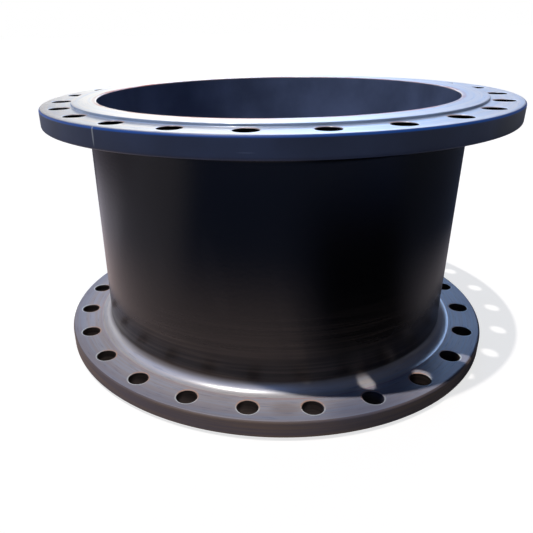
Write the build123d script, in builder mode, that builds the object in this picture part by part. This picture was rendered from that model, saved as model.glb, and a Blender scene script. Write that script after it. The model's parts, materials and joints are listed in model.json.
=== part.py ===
from build123d import *
import os

os.makedirs("parts", exist_ok=True)

# Short double-flanged pipe, cast in one piece: a plain round barrel with a drilled
# flange at each end. It stands on the raised face of its lower flange, with the
# origin at the centre of that face and +Z along the bore. Lengths are millimetres.

# Barrel
pipe_length = 500.0  # from one raised face to the other
bore_diameter = 700.0
wall_thickness = 19.0
bore_edge_radius = 2.5

# Flanges
flange_thickness = 39.5  # over the raised face
raised_face_height = 5.0
step_radius = 1.5  # at the top and the foot of the raised face's step
rim_radius = 5.0
root_radius = 24.0  # cast fillet between the barrel and the back of a flange

# Bolt holes, drilled straight through both flanges so that they line up
hole_count = 24
hole_diameter = 37.0
hole_chamfer = 1.5
nut_land = 8.5  # flat ring between the root fillet and the holes
rim_land = 16.5  # metal between the holes and the rim
face_land = 4.5  # metal between the holes and the raised face

# Radii, stepped outwards from the bore. The bolt circle is 840 across, the raised
# face 794 and the flange 910.
bore_radius = bore_diameter / 2
barrel_radius = bore_radius + wall_thickness
hole_radius = hole_diameter / 2
bolt_circle_radius = barrel_radius + root_radius + nut_land + hole_radius
raised_face_radius = bolt_circle_radius - hole_radius - face_land
flange_radius = bolt_circle_radius + hole_radius + rim_land

# The holes straddle the centre lines, half a pitch to each side of the X and Y axes.
first_hole_angle = 180 / hole_count


def corners_at(section, radius):
    """Corners of a section that lie at one distance from the pipe's axis."""
    return section.vertices().filter_by(lambda corner: abs(corner.X - radius) < 0.01)


with BuildPart() as flanged_pipe:
    with BuildSketch(Plane.XZ) as half_section:
        with BuildLine():
            Polyline(
                (bore_radius, 0),
                (raised_face_radius, 0),
                (raised_face_radius, raised_face_height),
                (flange_radius, raised_face_height),
                (flange_radius, flange_thickness),
                (barrel_radius, flange_thickness),
                (barrel_radius, pipe_length - flange_thickness),
                (flange_radius, pipe_length - flange_thickness),
                (flange_radius, pipe_length - raised_face_height),
                (raised_face_radius, pipe_length - raised_face_height),
                (raised_face_radius, pipe_length),
                (bore_radius, pipe_length),
                close=True,
            )
        make_face()
        fillet(corners_at(half_section, barrel_radius), root_radius)
        fillet(corners_at(half_section, flange_radius), rim_radius)
        fillet(corners_at(half_section, raised_face_radius), step_radius)
        fillet(corners_at(half_section, bore_radius), bore_edge_radius)
    revolve(axis=Axis.Z)

    with PolarLocations(bolt_circle_radius, hole_count, start_angle=first_hole_angle):
        Hole(hole_radius)
    level_circles = flanged_pipe.edges().filter_by(GeomType.CIRCLE).filter_by(Plane.XY)
    hole_edges = level_circles.group_by(SortBy.RADIUS)[0]
    chamfer(hole_edges, hole_chamfer)

flanged_pipe.part.label = "flanged_pipe"
export_step(flanged_pipe.part, "parts/flanged_pipe.step")
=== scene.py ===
"""The painted double-flanged pipe on a studio floor: its casting, its finish and its stage."""

import json
import math

import bmesh
import bpy
from mathutils import Matrix, Vector, noise


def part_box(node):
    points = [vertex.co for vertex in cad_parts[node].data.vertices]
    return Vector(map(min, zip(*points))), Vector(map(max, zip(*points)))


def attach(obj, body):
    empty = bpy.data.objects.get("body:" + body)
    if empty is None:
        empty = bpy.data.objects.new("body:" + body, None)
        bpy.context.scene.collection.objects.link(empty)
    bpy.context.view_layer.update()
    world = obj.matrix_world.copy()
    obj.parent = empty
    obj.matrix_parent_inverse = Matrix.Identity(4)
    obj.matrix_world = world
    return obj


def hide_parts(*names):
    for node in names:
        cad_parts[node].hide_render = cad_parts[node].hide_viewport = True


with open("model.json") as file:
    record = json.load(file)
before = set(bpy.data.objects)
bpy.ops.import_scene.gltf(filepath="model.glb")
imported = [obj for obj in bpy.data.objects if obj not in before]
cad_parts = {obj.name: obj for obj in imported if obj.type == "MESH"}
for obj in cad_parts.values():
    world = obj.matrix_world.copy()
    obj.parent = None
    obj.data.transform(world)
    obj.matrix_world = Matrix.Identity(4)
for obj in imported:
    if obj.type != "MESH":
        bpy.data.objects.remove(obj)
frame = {"record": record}

bl_info = {
    "name": "Double-flanged pipe",
    "version": (1, 0, 0),
    "blender": (4, 5, 0),
    "location": "3D View > Sidebar > Pipe",
    "description": "Builds a cast iron pipe with two drilled flanges, its black paint and its studio",
    "category": "Add Mesh",
}

CASTING_NODE = "flanged_pipe"
BODY = "root"

MOUNTS = {mount["name"]: mount for mount in frame["record"]["mounts"]}
BOX_LOW, BOX_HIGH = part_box(CASTING_NODE)
BORE_RADIUS = MOUNTS["bore"]["dims"]["r_mm"] / 1000
BOLTS = MOUNTS["upper_bolts"]["dims"]

ORIGIN = Vector((0, 0, 0))
UP = Vector((0, 0, 1))
MERGE_DISTANCE = 1e-5


def linear(hex_colour):
    """An sRGB hex colour such as "#101418" as linear red, green and blue."""
    channels = (int(hex_colour[i:i + 2], 16) / 255 for i in (1, 3, 5))
    return tuple(c / 12.92 if c <= 0.04045 else ((c + 0.055) / 1.055) ** 2.4 for c in channels)


# Settings


class PipeCastingSettings(bpy.types.PropertyGroup):
    """Sizes of the casting and of its drilling."""

    length: bpy.props.FloatProperty(
        name="Length",
        description="From one raised face to the other",
        default=BOX_HIGH.z - BOX_LOW.z,
        unit="LENGTH",
    )
    bore_radius: bpy.props.FloatProperty(
        name="Bore radius",
        description="Inside of the barrel",
        default=BORE_RADIUS,
        unit="LENGTH",
    )
    wall: bpy.props.FloatProperty(
        name="Wall",
        description="Thickness of the barrel",
        default=0.019,
        unit="LENGTH",
    )
    flange_radius: bpy.props.FloatProperty(
        name="Flange radius",
        description="Outside of both flanges",
        default=BOX_HIGH.x,
        unit="LENGTH",
    )
    flange_thickness: bpy.props.FloatProperty(
        name="Flange thickness",
        description="Over the raised face",
        default=0.0395,
        unit="LENGTH",
    )
    raised_face_height: bpy.props.FloatProperty(
        name="Raised face height",
        description="How far the gasket face stands out of the flange",
        default=0.005,
        unit="LENGTH",
    )
    raised_face_radius: bpy.props.FloatProperty(
        name="Raised face radius",
        description="Outside of the gasket face",
        default=0.397,
        unit="LENGTH",
    )
    root_rounding: bpy.props.FloatProperty(
        name="Root fillet",
        description="Cast fillet between the barrel and the back of a flange",
        default=0.024,
        unit="LENGTH",
    )
    rim_rounding: bpy.props.FloatProperty(
        name="Rim rounding",
        description="Rounding of the rim's two edges",
        default=0.005,
        unit="LENGTH",
    )
    step_rounding: bpy.props.FloatProperty(
        name="Step rounding",
        description="Rounding at the top and the foot of the raised face's step",
        default=0.0015,
        unit="LENGTH",
    )
    bore_rounding: bpy.props.FloatProperty(
        name="Bore rounding",
        description="Rounding of the bore's edge",
        default=0.0025,
        unit="LENGTH",
    )
    hole_radius: bpy.props.FloatProperty(
        name="Hole radius",
        description="Inside of a bolt hole",
        default=BOLTS["hole_r_mm"] / 1000,
        unit="LENGTH",
    )
    hole_rounding: bpy.props.FloatProperty(
        name="Hole rounding",
        description="Rounding of a bolt hole's edges",
        default=0.0015,
        unit="LENGTH",
    )
    bolt_circle_radius: bpy.props.FloatProperty(
        name="Bolt circle radius",
        description="From the pipe's axis to a hole's axis",
        default=BOLTS["pcd_mm"] / 2000,
        unit="LENGTH",
    )
    hole_count: bpy.props.IntProperty(
        name="Holes",
        description="Bolt holes in each flange, the same for both",
        default=BOLTS["count"],
    )
    waviness: bpy.props.FloatProperty(
        name="Waviness",
        description="How far the cast skin of the barrel strays from a true cylinder",
        default=0.0004,
        unit="LENGTH",
    )


class PipePaintSettings(bpy.types.PropertyGroup):
    """Colours of the paint, of what lies on it, and of the light and shade painted into it."""

    paint: bpy.props.FloatVectorProperty(
        name="Paint",
        description="Black bituminous paint",
        default=linear("#0C0D10"),
        subtype="COLOR",
    )
    film: bpy.props.FloatVectorProperty(
        name="Dry film",
        description="Pale dry film on the cast faces that look up",
        default=linear("#B1ABB1"),
        subtype="COLOR",
    )
    # Partly painted reflection: the turned face's film, lightened nearly to white
    turned: bpy.props.FloatVectorProperty(
        name="Turned face",
        description="The film on the smooth turned faces at both ends, lightened nearly to white as a painted reflection",
        default=linear("#E2DCD6"),
        subtype="COLOR",
    )
    # Painted reflection: the film tinted blue as the sky mirrored in the grooves, on the step and in a
    # scratch
    film_and_painted_sky: bpy.props.FloatVectorProperty(
        name="Film and painted sky",
        description="The same film, tinted blue as a painted sky reflection, in the grooves of the turning and on the step",
        default=linear("#A3B8D6"),
        subtype="COLOR",
    )
    # Painted highlight: the warm inner side of the ring round each hole's mouth
    warm_highlight: bpy.props.FloatVectorProperty(
        name="Warm highlight",
        description="Rust-warm tone of the painted highlight on the inner side of the holes' mouths",
        default=linear("#C9A48F"),
        subtype="COLOR",
    )
    # Partly painted light: dulled paint on the rims, tinted blue as painted sky light
    rim: bpy.props.FloatVectorProperty(
        name="Rim",
        description="Dulled paint on the rims, tinted blue as painted sky light",
        default=linear("#405075"),
        subtype="COLOR",
    )
    # Painted reflection: the blue of the sky on the upper rim's top rounding
    painted_rim_reflection: bpy.props.FloatVectorProperty(
        name="Rim reflection",
        description="Painted sky reflection on the rounding at the top of the upper rim",
        default=linear("#1F56AC"),
        subtype="COLOR",
    )
    # Partly painted light: dulled paint in the bore, tinted blue as painted sky light
    bore: bpy.props.FloatVectorProperty(
        name="Bore",
        description="Dulled paint in the bore, tinted blue as painted sky light",
        default=linear("#8092BA"),
        subtype="COLOR",
    )
    dust: bpy.props.FloatVectorProperty(
        name="Dust",
        description="Brown ground dust on the lower rim and the foot of the barrel",
        default=linear("#7A6A61"),
        subtype="COLOR",
    )
    # Real wear on the chip, and the pale outer side of the painted highlight round each hole's mouth
    worn_and_highlight: bpy.props.FloatVectorProperty(
        name="Worn edge and highlight",
        description="Rubbed edges and scuffs, and the pale side of the painted highlight round the holes' mouths",
        default=linear("#CFD6DA"),
        subtype="COLOR",
    )
    rust: bpy.props.FloatVectorProperty(
        name="Rust",
        description="Thin rust where the paint is rubbed off at the mouth of the bore and of a hole",
        default=linear("#C9693C"),
        subtype="COLOR",
    )


class PipeStageSettings(bpy.types.PropertyGroup):
    """Floor, key light and world."""

    floor: bpy.props.FloatVectorProperty(
        name="Floor",
        description="Colour of the plain floor",
        default=linear("#A8A8A8"),
        subtype="COLOR",
    )
    floor_glow: bpy.props.FloatProperty(
        name="Floor glow",
        description="What the floor is lifted by, towards white, where it is seen or mirrored",
        default=0.74,
    )
    key_strength: bpy.props.FloatProperty(
        name="Key light",
        description="Strength of the high key light, a little to the front and the left",
        default=2.1,
    )
    world_strength: bpy.props.FloatProperty(
        name="World",
        description="Strength of the even light from all round",
        default=0.32,
    )


# The casting's mesh

ARC_ERROR = 0.00005  # how far the steps of a rounding may stray from its arc
ARC_STEPS = 12  # steps round the pipe from one bolt hole to the next
HOLE_STEPS = 4 * ARC_STEPS  # as many as there are round one hole's share of the flange
ROW_HEIGHT = 0.025  # of the mesh along the barrel and the bore
SKIN_WAVES = 7  # of the cast skin, in a metre
SKIN_FADE = 0.1  # length over which they rise from nothing at a fillet


def steps_for(rounding):
    """Steps that keep a quarter arc of this radius within the arc error."""
    return math.ceil(math.pi / 2 * math.sqrt(rounding / (8 * ARC_ERROR)))


def rounded_wire(bm, corners, closed):
    """A wire in the XZ plane through (radius, height, rounding) corners. Returns its edges."""
    points = [bm.verts.new((radius, 0, height)) for radius, height, _ in corners]
    ends = points[1:] + points[:1] if closed else points[1:]
    for pair in zip(points, ends):
        bm.edges.new(pair)
    for point, (_, _, rounding) in zip(points, corners):
        if rounding:
            bmesh.ops.bevel(
                bm,
                geom=[point],
                offset=rounding,
                offset_type="OFFSET",
                segments=steps_for(rounding),
                profile=0.5,
                affect="VERTICES",
                material=-1,
            )
    return [edge for edge in bm.edges if edge.is_wire]


def casting_section(bm, sizes):
    """The half section of the casting, with its long straights divided into rows."""
    barrel = sizes.bore_radius + sizes.wall
    top = sizes.length
    corners = (
        (sizes.bore_radius, 0, sizes.bore_rounding),
        (sizes.raised_face_radius, 0, sizes.step_rounding),
        (sizes.raised_face_radius, sizes.raised_face_height, sizes.step_rounding),
        (sizes.flange_radius, sizes.raised_face_height, sizes.rim_rounding),
        (sizes.flange_radius, sizes.flange_thickness, sizes.rim_rounding),
        (barrel, sizes.flange_thickness, sizes.root_rounding),
        (barrel, top - sizes.flange_thickness, sizes.root_rounding),
        (sizes.flange_radius, top - sizes.flange_thickness, sizes.rim_rounding),
        (sizes.flange_radius, top - sizes.raised_face_height, sizes.rim_rounding),
        (sizes.raised_face_radius, top - sizes.raised_face_height, sizes.step_rounding),
        (sizes.raised_face_radius, top, sizes.step_rounding),
        (sizes.bore_radius, top, sizes.bore_rounding),
    )
    wire = rounded_wire(bm, corners, closed=True)
    for edge in wire:
        upright = abs(edge.verts[0].co.x - edge.verts[1].co.x) < MERGE_DISTANCE
        rows = round(edge.calc_length() / ROW_HEIGHT)
        if upright and rows > 1:
            bmesh.ops.subdivide_edges(bm, edges=[edge], cuts=rows - 1)


def hole_wall(bm, sizes, bottom, top):
    """The wall of the bolt hole on the X axis between two heights, with rounded edges."""
    beyond = sizes.hole_radius + 2 * sizes.hole_rounding
    corners = (
        (beyond, bottom, 0),
        (sizes.hole_radius, bottom, sizes.hole_rounding),
        (sizes.hole_radius, top, sizes.hole_rounding),
        (beyond, top, 0),
    )
    wire = rounded_wire(bm, corners, closed=False)
    # The wall ends where its roundings do, so the two outer points aren't part of it.
    ends = [point for edge in wire for point in edge.verts if len(point.link_edges) == 1]
    bmesh.ops.delete(bm, geom=ends, context="VERTS")
    wire = [edge for edge in bm.edges if edge.is_wire]
    points = list(dict.fromkeys(point for edge in wire for point in edge.verts))
    axis_at = Vector((sizes.bolt_circle_radius, 0, 0))
    bmesh.ops.translate(bm, verts=points, vec=axis_at)
    bmesh.ops.spin(
        bm,
        geom=points + wire,
        cent=axis_at,
        axis=UP,
        angle=2 * math.pi,
        steps=HOLE_STEPS,
        use_merge=True,
    )


def level_faces(bm, height):
    """The faces that lie flat at a height."""
    return [
        face for face in bm.faces if all(abs(v.co.z - height) < MERGE_DISTANCE for v in face.verts)
    ]


def drilled_plate(bm, sizes, height):
    """Opens one flat of the wedge round the mouth of its bolt hole."""
    plate = bmesh.ops.dissolve_faces(bm, faces=level_faces(bm, height))["region"][0]
    # Its two longest edges are the wedge's sides. Divided, they make up the hole's steps.
    sides = sorted(plate.edges, key=lambda edge: edge.calc_length())[-2:]
    bmesh.ops.bisect_edges(bm, edges=sides, cuts=ARC_STEPS - 1)
    plate = level_faces(bm, height)[0]
    bmesh.ops.inset_individual(bm, faces=[plate], thickness=sizes.hole_rounding)
    # The inner corners go onto the hole's circle one after another, from the outermost on.
    loop = max(plate.loops, key=lambda loop: loop.vert.co.x - abs(loop.vert.co.y))
    turn = 2 * math.pi / HOLE_STEPS
    if loop.link_loop_next.vert.co.y < loop.vert.co.y:
        turn = -turn
    axis_at = Vector((sizes.bolt_circle_radius, 0, height))
    mouth = Vector((sizes.hole_radius + sizes.hole_rounding, 0, 0))
    for step in range(HOLE_STEPS):
        loop.vert.co = axis_at + Matrix.Rotation(step * turn, 3, "Z") @ mouth
        loop = loop.link_loop_next
    bmesh.ops.delete(bm, geom=[plate], context="FACES_ONLY")


def cast_skin(bm, sizes):
    """Lets the barrel's outside and the bore stray a little, as a cast wall does."""
    barrel = sizes.bore_radius + sizes.wall
    foot = sizes.flange_thickness + sizes.root_rounding
    for vert in bm.verts:
        radius = vert.co.xy.length
        if foot < vert.co.z < sizes.length - foot and radius < barrel + MERGE_DISTANCE:
            reach = min(vert.co.z - foot, sizes.length - foot - vert.co.z) / SKIN_FADE
            offset = noise.noise(vert.co * SKIN_WAVES) * sizes.waviness * min(1, reach)
            vert.co.xy *= 1 + offset / radius


class PIPE_OT_casting(bpy.types.Operator):
    """Builds the one-piece casting with its drilled flanges and paints it black"""

    bl_idname = "pipe.casting"
    bl_label = "Flanged pipe casting"

    def execute(self, context):
        sizes = context.scene.pipe_casting
        pitch = 2 * math.pi / sizes.hole_count
        bm = bmesh.new()
        casting_section(bm, sizes)
        bmesh.ops.rotate(bm, verts=bm.verts, cent=ORIGIN, matrix=Matrix.Rotation(-pitch / 2, 3, "Z"))
        bmesh.ops.spin(
            bm,
            geom=bm.verts[:] + bm.edges[:],
            cent=ORIGIN,
            axis=UP,
            angle=pitch,
            steps=ARC_STEPS,
        )
        flats = (
            (sizes.raised_face_height, sizes.flange_thickness),
            (sizes.length - sizes.flange_thickness, sizes.length - sizes.raised_face_height),
        )
        for bottom, top in flats:
            hole_wall(bm, sizes, bottom, top)
            for height in (bottom, top):
                drilled_plate(bm, sizes, height)
        bmesh.ops.spin(
            bm,
            geom=bm.verts[:] + bm.edges[:] + bm.faces[:],
            cent=ORIGIN,
            axis=UP,
            angle=2 * math.pi - pitch,
            steps=sizes.hole_count - 1,
            use_duplicate=True,
        )
        bmesh.ops.remove_doubles(bm, verts=bm.verts, dist=MERGE_DISTANCE)
        bmesh.ops.rotate(bm, verts=bm.verts, cent=ORIGIN, matrix=Matrix.Rotation(pitch / 2, 3, "Z"))
        cast_skin(bm, sizes)
        bmesh.ops.recalc_face_normals(bm, faces=bm.faces)
        if any(not edge.is_manifold for edge in bm.edges):
            raise RuntimeError("the casting's mesh isn't closed")
        mesh = bpy.data.meshes.new("pipe_casting")
        bm.to_mesh(mesh)
        bm.free()
        mesh.shade_smooth()
        casting = bpy.data.objects.new("pipe_casting", mesh)
        context.scene.collection.objects.link(casting)
        weighted = casting.modifiers.new("flats_stay_flat", "WEIGHTED_NORMAL")
        weighted.mode = "FACE_AREA"
        weighted.weight = 50
        mesh.materials.append(black_bituminous_paint(context.scene.pipe_paint, sizes))
        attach(casting, BODY)
        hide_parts(CASTING_NODE)
        return {"FINISHED"}


# The finish

BINDER_IOR = 1.5
SKIN_IOR = 2.4  # of the dry film's skin, well over a binder's for its nearly metallic sheen
SKIN_ROUGHNESS = 0.31
WET_ROUGHNESS = 0.14  # of the paint where it is wettest
PATCH_ROUGHNESS = 0.12  # what its dullest patches have more
PEEL_DEPTH = 0.0003  # of the orange peel and of the turned rings
PEEL_STRENGTH = 0.4
RAGGEDNESS = 0.8  # how far noise moves a mark's outline, in the mark's half sizes


def add_node(tree, kind, inputs=None, output=0, **settings):
    """Adds a node with its settings, fills or links its inputs, and returns one of its outputs."""
    node = tree.nodes.new(kind)
    for name, value in settings.items():
        setattr(node, name, value)
    for name, value in (inputs or {}).items():
        if isinstance(value, bpy.types.NodeSocket):
            tree.links.new(value, node.inputs[name])
        else:
            node.inputs[name].default_value = value
    return node.outputs[output]


def from_hole_axis(tree, sizes, x, y, radius):
    """The distance to the axis of the nearest bolt hole."""
    pitch = 2 * math.pi / sizes.hole_count
    turn = add_node(tree, "ShaderNodeMath", {0: y, 1: x}, operation="ARCTAN2")
    # Folded into one pitch, the heading is zero in the middle, where the hole's axis is.
    for operation, number in (
        ("DIVIDE", pitch), ("FRACT", 0), ("SUBTRACT", 0.5), ("MULTIPLY", pitch)
    ):
        turn = add_node(tree, "ShaderNodeMath", {0: turn, 1: number}, operation=operation)
    sine = add_node(tree, "ShaderNodeMath", {0: turn}, operation="SINE")
    cosine = add_node(tree, "ShaderNodeMath", {0: turn}, operation="COSINE")
    along = add_node(tree, "ShaderNodeMath", {0: sine, 1: radius}, operation="MULTIPLY")
    across = add_node(
        tree,
        "ShaderNodeMath",
        {0: cosine, 1: radius, 2: -sizes.bolt_circle_radius},
        operation="MULTIPLY_ADD",
    )
    place = add_node(tree, "ShaderNodeCombineXYZ", {"X": along, "Y": across})
    return add_node(tree, "ShaderNodeVectorMath", {0: place}, "Value", operation="LENGTH")


def pipe_fields(tree, sizes):
    """Where a point lies on the pipe and how far it faces up, by name."""
    place = add_node(tree, "ShaderNodeTexCoord", output="Object")
    x, y, z = add_node(tree, "ShaderNodeSeparateXYZ", {"Vector": place}).node.outputs
    level = add_node(tree, "ShaderNodeCombineXYZ", {"X": x, "Y": y})
    radius = add_node(tree, "ShaderNodeVectorMath", {0: level}, "Value", operation="LENGTH")
    normal = add_node(tree, "ShaderNodeNewGeometry", output="Normal")
    rise = add_node(tree, "ShaderNodeSeparateXYZ", {"Vector": normal}, "Z")
    middle = sizes.length / 2
    from_middle = add_node(tree, "ShaderNodeMath", {0: z, 1: middle}, operation="SUBTRACT")
    from_middle = add_node(tree, "ShaderNodeMath", {0: from_middle}, operation="ABSOLUTE")
    return {
        "place": place,
        "x": x,
        "y": y,
        "z": z,
        "radius": radius,
        "rise": rise,
        "from_middle": from_middle,
        "hole": from_hole_axis(tree, sizes, x, y, radius),
    }


def paint_grain(tree, fields):
    """Noise by name, each with a length along the pipe's level and a width across it, in metres.

    Turned rings are really under 1 mm apart and brush hairs thinner still, so both are
    drawn as coarse as they need to be to show.
    """
    grain = {}
    for name, across, length, width, detail in (
        ("rings", "radius", 0.25, 0.004, 3.0),
        ("bands", "radius", 0.3, 0.016, 2.0),
        ("streaks", "radius", 0.04, 0.003, 2.0),
        ("strokes", "z", 0.25, 0.006, 3.0),
        ("patches", "z", 0.125, 0.125, 5.0),
        ("peel", "z", 0.007, 0.007, 2.0),
    ):
        spot = add_node(
            tree,
            "ShaderNodeCombineXYZ",
            {"X": fields["x"], "Y": fields["y"], "Z": fields[across]},
        )
        spot = add_node(
            tree,
            "ShaderNodeVectorMath",
            {0: spot, 1: (1 / length, 1 / length, 1 / width)},
            operation="MULTIPLY",
        )
        grain[name] = add_node(
            tree, "ShaderNodeTexNoise", {"Vector": spot, "Scale": 1.0, "Detail": detail}
        )
    return grain


def paint_masks(tree, sizes, fields):
    """Where each tone of the paint lies, by name, and zero where there is none of it."""
    end = sizes.length / 2
    face_foot = end - sizes.raised_face_height
    bore = sizes.bore_radius
    barrel = bore + sizes.wall
    foot = barrel + sizes.root_rounding
    step = sizes.raised_face_radius
    circle = sizes.bolt_circle_radius
    rim = sizes.flange_radius
    mouth = sizes.hole_radius
    mask = {}
    # Each rises smoothly from its lowest value at the first bound to its highest at the second.
    for name, field, first, second, lowest, highest in (
        ("upward", "rise", 0.2, 0.86, 0, 1),
        ("edge_up", "rise", 0.05, 0.35, 0, 1),
        ("in_bore", "radius", bore + 0.003, bore + 0.001, 0, 1),
        ("on_rim", "radius", rim - 0.004, rim - 0.001, 0, 1),
        ("low", "z", 0.24, 0.04, 0, 1),
        ("high", "z", 0.35, 0.45, 0, 1),
        ("off_barrel", "radius", barrel + 0.0003, barrel + 0.002, 0, 1),
        ("in_foot", "radius", foot + 0.0005, foot - 0.0015, 0, 1),
        ("turned_end", "from_middle", face_foot - 0.0012, face_foot - 0.0002, 0, 1),
        ("step_out", "radius", step - 0.002, step - 0.0005, 0, 1),
        ("step_in", "radius", step + 0.003, step + 0.002, 0, 1),
        ("outer", "radius", circle - 0.012, circle + 0.012, 0, 1),
        # darker towards the rim
        ("outward_darkening", "radius", circle - 0.01, rim - 0.005, 0, 0.35),
        ("flat_in", "radius", rim - 0.0022, rim - 0.0032, 0, 1),
        ("mouth_out", "hole", mouth + 0.0034, mouth + 0.0022, 0, 1),
        ("mouth_in", "hole", mouth + 0.0001, mouth + 0.0005, 0, 1),
        ("bore_rub", "radius", bore + 0.01, bore + 0.006, 0, 1),
        ("bore_top", "from_middle", end - 0.0022, end - 0.0008, 0, 1),
        # a painted highlight: paler film from the fillet's foot up
        ("foot_highlight_band", "radius", foot + 0.001, foot - 0.003, 0, 0.5),
        ("foot_line", "radius", foot + 0.0025, foot + 0.0012, 0, 1),
        ("foot_start", "radius", foot - 0.001, foot, 0, 0.35),
        ("ring_tone", "rings", 0.42, 0.62, 0, 0.35),
        ("band_tone", "bands", 0.4, 0.65, 0, 0.7),
        ("streak_tone", "streaks", 0.56, 0.72, 0, 0.35),
        ("stroke_tone", "strokes", 0.35, 0.75, 0.1, 0.4),
        ("stroke_full", "strokes", 0.35, 0.65, 0.55, 1),
        ("patch_full", "patches", 0.3, 0.7, 0.8, 1),
        ("patch_half", "patches", 0.3, 0.7, 0.55, 0.9),
        ("patch_rare", "patches", 0.45, 0.65, 0.3, 1),
    ):
        bounds = {"From Min": first, "From Max": second, "To Min": lowest, "To Max": highest}
        mask[name] = add_node(
            tree,
            "ShaderNodeMapRange",
            {"Value": fields[field], **bounds},
            interpolation_type="SMOOTHSTEP",
        )
    # These lie only where all their parts do.
    for name, *parts in (
        ("film", "upward", "flat_in", "patch_full"),
        ("film_outer", "film", "outward_darkening", "low"),
        ("film_foot_highlight", "film", "foot_highlight_band"),
        ("film_ring", "film", "ring_tone"),
        ("film_streak", "film", "streak_tone"),
        # the turned face, whose film is lightened nearly to white as a painted reflection
        ("turned", "turned_end", "upward"),
        ("turned_band", "turned", "band_tone"),
        # the raised face's step, which takes a painted sky reflection
        ("step", "turned_end", "step_out", "step_in"),
        ("fillet", "off_barrel", "in_foot"),
        # a painted highlight on the rounded edge round each hole's mouth
        ("mouth_highlight", "mouth_out", "mouth_in", "patch_full"),
        ("bore_rust", "bore_rub", "bore_top", "patch_rare"),
        ("foot_rust", "foot_line", "foot_start", "patch_rare"),
        ("dusty", "low", "stroke_tone"),
        ("rim", "on_rim", "patch_half"),
        ("rim_dust", "on_rim", "low", "stroke_full"),
        # a painted sky reflection on the upper rim's top rounding
        ("painted_rim_reflection", "on_rim", "edge_up", "high"),
        ("bore", "in_bore", "patch_half"),
    ):
        product = mask[parts[0]]
        for part in parts[1:]:
            product = add_node(
                tree, "ShaderNodeMath", {0: product, 1: mask[part]}, operation="MULTIPLY"
            )
        mask[name] = product
    return mask


def paint_marks(tree, sizes, fields):
    """Marks by name, each an oval that fades in from its first bound to its second.

    They lie at a heading round the pipe, a radius and a height, with half sizes outwards,
    round the pipe and upwards. The bounds are in half sizes, before the noise.
    """
    rim = sizes.flange_radius
    ledge = sizes.flange_thickness
    marks = {}
    for name, heading, out, up, halves, first, second, most in (
        ("chip", -127.5, rim, 0.484, (0.006, 0.002, 0.02), 1.1, 0.4, 0.6),
        ("scratch", -97, rim, 0.472, (0.006, 0.016, 0.001), 1.1, 0.5, 0.16),
        # a painted shade on the front right of the lower flange's back, in the rims' colour
        ("painted_front_shade", -70, 0.43, ledge, (0.04, 0.1, 0.02), 1.2, 0.3, 0.45),
        ("scuffs", -89, 0.42, ledge, (0.024, 0.034, 0.01), 1.1, 0.3, 0.4),
    ):
        turn = math.radians(heading)
        at = (out * math.cos(turn), out * math.sin(turn), up)
        spot = add_node(
            tree,
            "ShaderNodeMapping",
            {"Vector": fields["place"], "Location": at, "Rotation": (0, 0, turn), "Scale": halves},
            vector_type="TEXTURE",
        )
        away = add_node(tree, "ShaderNodeVectorMath", {0: spot}, "Value", operation="LENGTH")
        ragged = add_node(
            tree,
            "ShaderNodeMath",
            {0: fields["streaks"], 1: RAGGEDNESS, 2: away},
            operation="MULTIPLY_ADD",
        )
        # The noise is a half on average, so that is how far it moves both bounds.
        shift = RAGGEDNESS / 2
        marks[name] = add_node(
            tree,
            "ShaderNodeMapRange",
            {"Value": ragged, "From Min": first + shift, "From Max": second + shift, "To Max": most},
            interpolation_type="SMOOTHSTEP",
        )
    return marks


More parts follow.
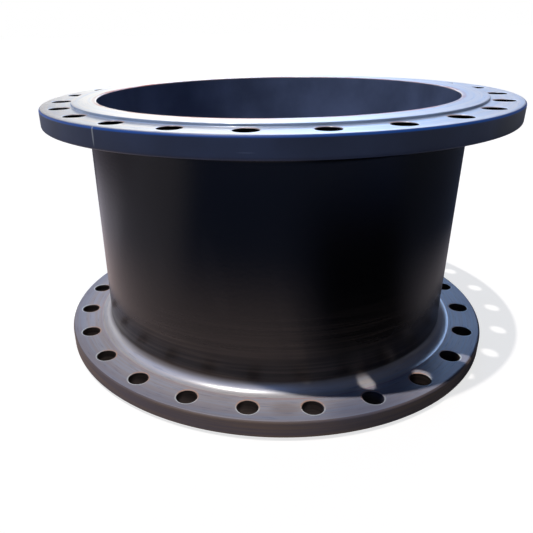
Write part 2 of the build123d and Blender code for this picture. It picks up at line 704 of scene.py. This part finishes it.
def black_bituminous_paint(colours, sizes):
    """Black bituminous paint brushed on cast iron.

    It is a thick glossy black that lets brush marks and a slight orange peel show. Faces
    that look up carry a pale dry film, and it gathers smooth and wet-looking in the fillets.
    Low down, ground dust lies on it, and at the mouth of the bore it is rubbed down to rusty
    iron. Light and shade are painted into it as well: the turned face is lightened nearly to
    white as a painted reflection, the film at the fillets' foot and a ring round each hole's
    mouth are painted highlights, the rims, the bore, the step and the turning's grooves are
    tinted blue as painted sky light, the upper rim's top rounding has a painted sky
    reflection, and the lower flange's back has a painted shade at its front right.
    """
    material = bpy.data.materials.new("black_bituminous_paint")
    material.use_nodes = True
    tree = material.node_tree
    shader = tree.nodes["Principled BSDF"]
    fields = pipe_fields(tree, sizes)
    fields.update(paint_grain(tree, fields))
    mask = paint_masks(tree, sizes, fields)
    mask.update(paint_marks(tree, sizes, fields))

    # The tones, from the bare paint outwards, each with the mask it lies in
    # The painted highlight round a hole's mouth, warm on its side towards the pipe and pale towards the
    # rim
    mouth_highlight_tone = add_node(
        tree,
        "ShaderNodeMix",
        {"Factor": mask["outer"], "A": (*colours.warm_highlight, 1), "B": (*colours.worn_and_highlight, 1)},
        "Result",
        data_type="RGBA",
    )
    colour = (*colours.paint, 1)
    for tone, amount in (
        (colours.dust, "dusty"),
        # Dulled rims, tinted blue as painted sky light
        (colours.rim, "rim"),
        (colours.dust, "rim_dust"),
        # Painted reflection of the sky on the upper rim's top rounding
        (colours.painted_rim_reflection, "painted_rim_reflection"),
        # Dulled bore, tinted blue as painted sky light
        (colours.bore, "bore"),
        (colours.film, "film"),
        # Painted highlight: the film paler from each fillet's foot up
        (colours.turned, "film_foot_highlight"),
        # The turned face's film, lightened nearly to white as a painted reflection
        (colours.turned, "turned"),
        # Real turned bands and rings, tinted blue as a painted sky reflection
        (colours.film_and_painted_sky, "turned_band"),
        (colours.film_and_painted_sky, "film_ring"),
        # The film on the lower flange, darker towards its rim
        (colours.rim, "film_outer"),
        (colours.rim, "film_streak"),
        # Painted sky reflection on the raised face's step
        (colours.film_and_painted_sky, "step"),
        # Painted highlight round each hole's mouth
        (mouth_highlight_tone, "mouth_highlight"),
        (colours.rust, "foot_rust"),
        # Painted shade on the front right of the lower flange's back
        (colours.rim, "painted_front_shade"),
        (colours.dust, "scuffs"),
        (colours.worn_and_highlight, "chip"),
        # A real scratch, tinted blue as a painted sky reflection
        (colours.film_and_painted_sky, "scratch"),
        (colours.rust, "bore_rust"),
    ):
        over = tone if isinstance(tone, bpy.types.NodeSocket) else (*tone, 1)
        colour = add_node(
            tree,
            "ShaderNodeMix",
            {"Factor": mask[amount], "A": colour, "B": over},
            "Result",
            data_type="RGBA",
        )
    tree.links.new(colour, shader.inputs["Base Color"])

    # Wet gloss on the barrel and in the fillets, and less where film, dust or rubbing dulls it
    rough = add_node(
        tree,
        "ShaderNodeMath",
        {0: fields["patches"], 1: PATCH_ROUGHNESS, 2: WET_ROUGHNESS},
        operation="MULTIPLY_ADD",
    )
    for name, more in (("film", 0.14), ("on_rim", 0.3), ("low", 0.12)):
        rough = add_node(
            tree, "ShaderNodeMath", {0: mask[name], 1: more, 2: rough}, operation="MULTIPLY_ADD"
        )
    tree.links.new(rough, shader.inputs["Roughness"])

    # The film on the turned faces and in the fillets has a skin of its own, a soft and nearly
    # metallic sheen, which is gone where the bore's mouth is rusty
    skin = add_node(tree, "ShaderNodeMath", {0: mask["turned"], 1: mask["fillet"]}, operation="MAXIMUM")
    skin = add_node(
        tree, "ShaderNodeMath", {0: skin, 1: mask["bore_rust"]}, operation="SUBTRACT", use_clamp=True
    )
    tree.links.new(skin, shader.inputs["Coat Weight"])
    shader.inputs["Coat Roughness"].default_value = SKIN_ROUGHNESS
    shader.inputs["Coat IOR"].default_value = SKIN_IOR
    shader.inputs["IOR"].default_value = BINDER_IOR

    # Orange peel all over, and the rings of the turned faces
    height = add_node(
        tree,
        "ShaderNodeMath",
        {0: fields["rings"], 1: mask["upward"], 2: fields["peel"]},
        operation="MULTIPLY_ADD",
    )
    bump = add_node(
        tree,
        "ShaderNodeBump",
        {"Height": height, "Strength": PEEL_STRENGTH, "Distance": PEEL_DEPTH},
    )
    tree.links.new(bump, shader.inputs["Normal"])
    return material


# The stage

LENS = 36.96  # millimetres, as the sensor's width is
SENSOR = 36.0
CAMERA_AT = Vector((-0.0508, -1.1640, 0.6189))
CAMERA_HEADING = math.radians(2.82)
CAMERA_PITCH = math.radians(25.5)
CAMERA_ROLL = math.radians(1.45)
CAMERA_SHIFT = (0.0777, 0.0409)
FLOOR_REACH = 60  # from its middle to its sides
FLOOR_DROP = 0.0002  # the floor is this far under the pipe, so that their faces don't meet
CARD_RADIUS = 5
CARD_LIFT = 0.0003  # the card is this far over the pipe's foot
# The card's glow is painted light, not a lamp
CARD_GLOW = 0.18  # keeps the card's tones where the pipe shades it
KEY_DIRECTION = Vector((0.2245, 0.1493, -0.9635))  # the way its light goes
KEY_ANGLE = math.radians(1)
KEY_COLOUR = linear("#FFF8F1")


def add_camera(scene):
    """The camera where the photograph was taken, with the crop of its frame as a shift."""
    data = bpy.data.cameras.new("camera")
    data.lens = LENS
    data.sensor_width = SENSOR
    data.shift_x, data.shift_y = CAMERA_SHIFT
    camera = bpy.data.objects.new("camera", data)
    camera.matrix_world = (
        Matrix.Translation(CAMERA_AT)
        @ Matrix.Rotation(CAMERA_HEADING, 4, "Z")
        @ Matrix.Rotation(math.pi / 2 - CAMERA_PITCH, 4, "X")
        @ Matrix.Rotation(-CAMERA_ROLL, 4, "Z")
    )
    scene.collection.objects.link(camera)
    scene.camera = camera


def add_stage_piece(scene, name, bm, material):
    """Puts a flat piece of the stage into the scene."""
    mesh = bpy.data.meshes.new(name)
    bm.to_mesh(mesh)
    bm.free()
    mesh.materials.append(material)
    piece = bpy.data.objects.new(name, mesh)
    scene.collection.objects.link(piece)
    return piece


def seen_or_mirrored(tree):
    """One for rays from the camera and for rays off gloss or through glass, zero for the rest."""
    rays = add_node(tree, "ShaderNodeLightPath").node.outputs
    either = rays["Is Camera Ray"]
    for other in ("Is Glossy Ray", "Is Transmission Ray"):
        either = add_node(tree, "ShaderNodeMath", {0: either, 1: rays[other]}, operation="MAXIMUM")
    return either


def matt_studio_paper(colour, glow):
    """Matt studio paper, lifted to white where it is seen, which keeps its shadows."""
    material = bpy.data.materials.new("matt_studio_paper")
    material.use_nodes = True
    tree = material.node_tree
    shader = tree.nodes["Principled BSDF"]
    shader.inputs["Base Color"].default_value = (*colour, 1)
    shader.inputs["Roughness"].default_value = 0.9
    shader.inputs["Specular IOR Level"].default_value = 0.0
    shader.inputs["Emission Color"].default_value = (1, 1, 1, 1)
    lift = add_node(
        tree, "ShaderNodeMath", {0: seen_or_mirrored(tree), 1: glow}, operation="MULTIPLY"
    )
    tree.links.new(lift, shader.inputs["Emission Strength"])
    return material


def mirrored_ground_card():
    """Matt card with a painted glow, seen only in reflections, whose tones are painted light and shade
    of the ground: near black in front of the pipe, and paler to its left, behind it and near it.
    """
    material = bpy.data.materials.new("mirrored_ground_card")
    material.use_nodes = True
    tree = material.node_tree
    shader = tree.nodes["Principled BSDF"]
    place = add_node(tree, "ShaderNodeTexCoord", output="Object")
    away = add_node(tree, "ShaderNodeVectorMath", {0: place}, "Value", operation="LENGTH")
    way = add_node(tree, "ShaderNodeVectorMath", {0: place}, operation="NORMALIZE")
    near = add_node(
        tree,
        "ShaderNodeMapRange",
        {"Value": away, "From Min": 1.1, "From Max": 0.5},
        interpolation_type="SMOOTHSTEP",
    )
    far = add_node(
        tree,
        "ShaderNodeMapRange",
        {"Value": away, "From Min": 1.0, "From Max": 2.4},
        interpolation_type="SMOOTHSTEP",
    )
    # Each tone lies towards a heading, and comes in between two cosines of the angle to it.
    tone = (*linear("#050506"), 1)
    for shade, heading, first, second, reach in (
        ("#4C5874", -150, 0.0, 0.55, 1),
        ("#46557C", -40, -0.4, 0.2, far),
        ("#A39FA8", 178, 0.6, 0.85, 1),
        ("#C8C2CA", 153, 0.88, 0.98, 1),
        ("#757079", 140, 0.6, 0.85, far),
        ("#353B4A", 50, 0.1, 0.5, 1),
        ("#E0CCC8", -155, 0.0, 0.5, near),
        ("#8F8A8E", 35, 0.3, 0.8, near),
    ):
        turn = math.radians(heading)
        towards = add_node(
            tree,
            "ShaderNodeVectorMath",
            {0: way, 1: (math.cos(turn), math.sin(turn), 0)},
            "Value",
            operation="DOT_PRODUCT",
        )
        amount = add_node(
            tree,
            "ShaderNodeMapRange",
            {"Value": towards, "From Min": first, "From Max": second, "To Max": reach},
            interpolation_type="SMOOTHSTEP",
        )
        tone = add_node(
            tree,
            "ShaderNodeMix",
            {"Factor": amount, "A": tone, "B": (*linear(shade), 1)},
            "Result",
            data_type="RGBA",
        )
    tree.links.new(tone, shader.inputs["Base Color"])
    tree.links.new(tone, shader.inputs["Emission Color"])
    shader.inputs["Emission Strength"].default_value = CARD_GLOW
    shader.inputs["Roughness"].default_value = 1.0
    shader.inputs["Specular IOR Level"].default_value = 0.0
    return material


def studio_surround(strength):
    """A dark surround that is white low behind the pipe and blue above it, and white when seen."""
    world = bpy.data.worlds.new("studio")
    world.use_nodes = True
    tree = world.node_tree
    background = tree.nodes["Background"]
    way = add_node(tree, "ShaderNodeTexCoord", output="Generated")
    # Each patch lies towards a direction, and comes in between two cosines of the angle to it.
    # Its colour is linear, and past 1 where the patch is brighter than white paper.
    tone = (0.06, 0.06, 0.07, 1)
    for colour, towards, first, second in (
        ((1, 1, 1), (-0.35, 0.94, 0), 0.45, 0.8),  # low behind the pipe
        ((0.28, 0.45, 0.9), (0, 0, 1), 0.3, 0.6),  # overhead
        ((2.3, 2.3, 2.2), (-0.13, 0.97, 0.14), 0.955, 0.985),  # mirrored by the upper face
        ((2, 2.95, 4.8), (0.33, 0.8, 0.55), 0.92, 0.97),  # mirrored by the lower flange
        ((0.25, 0.22, 0.2), (0.42, 0.9, 0.07), 0.935, 0.98),  # low behind, to the right
        ((0.06, 0.06, 0.07), (-0.45, 0.75, 0.5), 0.9, 0.96),  # high behind, to the left
        ((0.03, 0.03, 0.04), (0.93, -0.2, 0.3), 0.3, 0.5),  # right of the pipe
    ):
        near = add_node(
            tree, "ShaderNodeVectorMath", {0: way, 1: towards}, "Value", operation="DOT_PRODUCT"
        )
        amount = add_node(
            tree,
            "ShaderNodeMapRange",
            {"Value": near, "From Min": first, "From Max": second},
            interpolation_type="SMOOTHSTEP",
        )
        tone = add_node(
            tree,
            "ShaderNodeMix",
            {"Factor": amount, "A": tone, "B": (*colour, 1)},
            "Result",
            data_type="RGBA",
        )
    seen = add_node(tree, "ShaderNodeLightPath", output="Is Camera Ray")
    tone = add_node(
        tree,
        "ShaderNodeMix",
        {"Factor": seen, "A": tone, "B": (1, 1, 1, 1)},
        "Result",
        data_type="RGBA",
    )
    tree.links.new(tone, background.inputs["Color"])
    level = add_node(
        tree, "ShaderNodeMapRange", {"Value": seen_or_mirrored(tree), "To Min": strength, "To Max": 1}
    )
    tree.links.new(level, background.inputs["Strength"])
    return world


class PIPE_OT_stage(bpy.types.Operator):
    """Sets the camera, the floor, the card that gloss mirrors, the key light and the world"""

    bl_idname = "pipe.stage"
    bl_label = "Studio"

    def execute(self, context):
        scene = context.scene
        stage = scene.pipe_stage
        add_camera(scene)

        floor = bmesh.new()
        bmesh.ops.create_grid(floor, x_segments=1, y_segments=1, size=FLOOR_REACH)
        bmesh.ops.translate(floor, verts=floor.verts, vec=(0, 0, -FLOOR_DROP))
        add_stage_piece(scene, "floor", floor, matt_studio_paper(stage.floor, stage.floor_glow))

        # A card on the floor, which only reflections show, keeps the barrel as dark in front
        # and as dull at its sides as the ground round the real one does. Its tones are that
        # ground's light and shade, painted.
        card = bmesh.new()
        bmesh.ops.create_circle(card, cap_ends=True, radius=CARD_RADIUS, segments=48)
        bmesh.ops.translate(card, verts=card.verts, vec=(0, 0, CARD_LIFT))
        card = add_stage_piece(scene, "card", card, mirrored_ground_card())
        card.visible_camera = False
        card.visible_diffuse = False
        card.visible_transmission = False
        card.visible_shadow = False

        sun = bpy.data.lights.new("key", "SUN")
        sun.energy = stage.key_strength
        sun.angle = KEY_ANGLE
        sun.color = KEY_COLOUR
        key = bpy.data.objects.new("key", sun)
        key.rotation_mode = "QUATERNION"
        key.rotation_quaternion = KEY_DIRECTION.to_track_quat("-Z", "Y")
        scene.collection.objects.link(key)

        scene.world = studio_surround(stage.world_strength)
        scene.view_settings.view_transform = "Standard"
        return {"FINISHED"}


# The panel and the run


class PIPE_PT_panel(bpy.types.Panel):
    """Lists what the pipe is made of, with its sizes and colours"""

    bl_idname = "PIPE_PT_panel"
    bl_label = "Double-flanged pipe"
    bl_space_type = "VIEW_3D"
    bl_region_type = "UI"
    bl_category = "Pipe"

    def draw(self, context):
        for operator, settings in (
            (PIPE_OT_casting, context.scene.pipe_casting),
            (None, context.scene.pipe_paint),
            (PIPE_OT_stage, context.scene.pipe_stage),
        ):
            if operator:
                self.layout.operator(operator.bl_idname)
            column = self.layout.column()
            for name in settings.__annotations__:
                column.prop(settings, name)


CLASSES = (
    PipeCastingSettings,
    PipePaintSettings,
    PipeStageSettings,
    PIPE_OT_casting,
    PIPE_OT_stage,
    PIPE_PT_panel,
)
SETTINGS = {
    "pipe_casting": PipeCastingSettings,
    "pipe_paint": PipePaintSettings,
    "pipe_stage": PipeStageSettings,
}


def register():
    for cls in CLASSES:
        bpy.utils.register_class(cls)
    for name, cls in SETTINGS.items():
        setattr(bpy.types.Scene, name, bpy.props.PointerProperty(type=cls))


def unregister():
    for name in SETTINGS:
        delattr(bpy.types.Scene, name)
    for cls in reversed(CLASSES):
        bpy.utils.unregister_class(cls)


def main():
    """Registers the classes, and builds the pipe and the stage."""
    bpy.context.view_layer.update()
    register()
    bpy.ops.pipe.casting()
    bpy.ops.pipe.stage()


if __name__ == "__main__":
    main()
